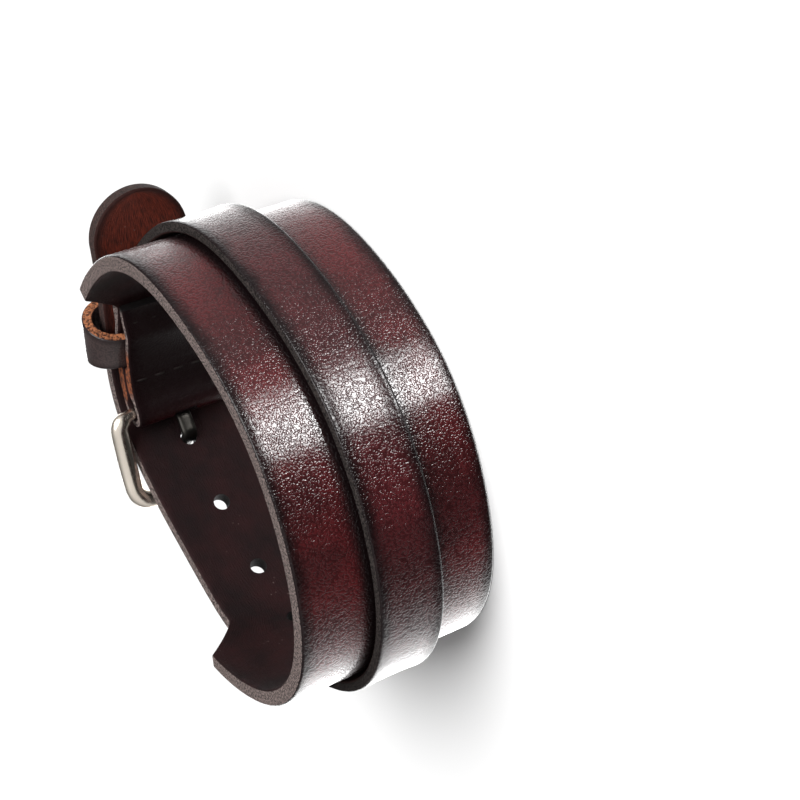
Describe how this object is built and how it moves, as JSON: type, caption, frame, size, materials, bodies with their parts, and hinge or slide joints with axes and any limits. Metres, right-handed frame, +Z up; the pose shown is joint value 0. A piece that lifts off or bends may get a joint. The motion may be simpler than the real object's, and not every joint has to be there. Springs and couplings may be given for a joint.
{
  "type": "buckled leather cuff bracelet",
  "caption": "Wide leather cuff with a narrower strap round it, closed at the back by a metal frame buckle, a punched strap and a leather keeper",
  "frame": {"origin": "centre of the whole bracelet's bounding box, on the surface it rests on", "axes": "+Z up and along the axis of the ring, which the wrist goes through; +X along the ring's long side, with the free tail and the buckle on the +X side; +Y towards the back, where the punched strap runs"},
  "size_m": [0.0884, 0.0676, 0.032],
  "materials": {
    "cuff_leather": "glossy grained oxblood leather with darkened edges and a rough brown flesh side",
    "strap_leather": "glossy grained oxblood leather with darkened edges",
    "keeper_leather": "smooth dark leather with raw tan cut edges",
    "nickel": "polished nickel plating"
  },
  "bodies": {
    "root": {"base_cuff": "cuff_leather", "outer_strap": "strap_leather", "keeper_loop": "keeper_leather", "buckle_frame": "nickel", "buckle_prong": "nickel", "rivet_top": "nickel", "rivet_bottom": "nickel"}
  },
  "joints": []
}
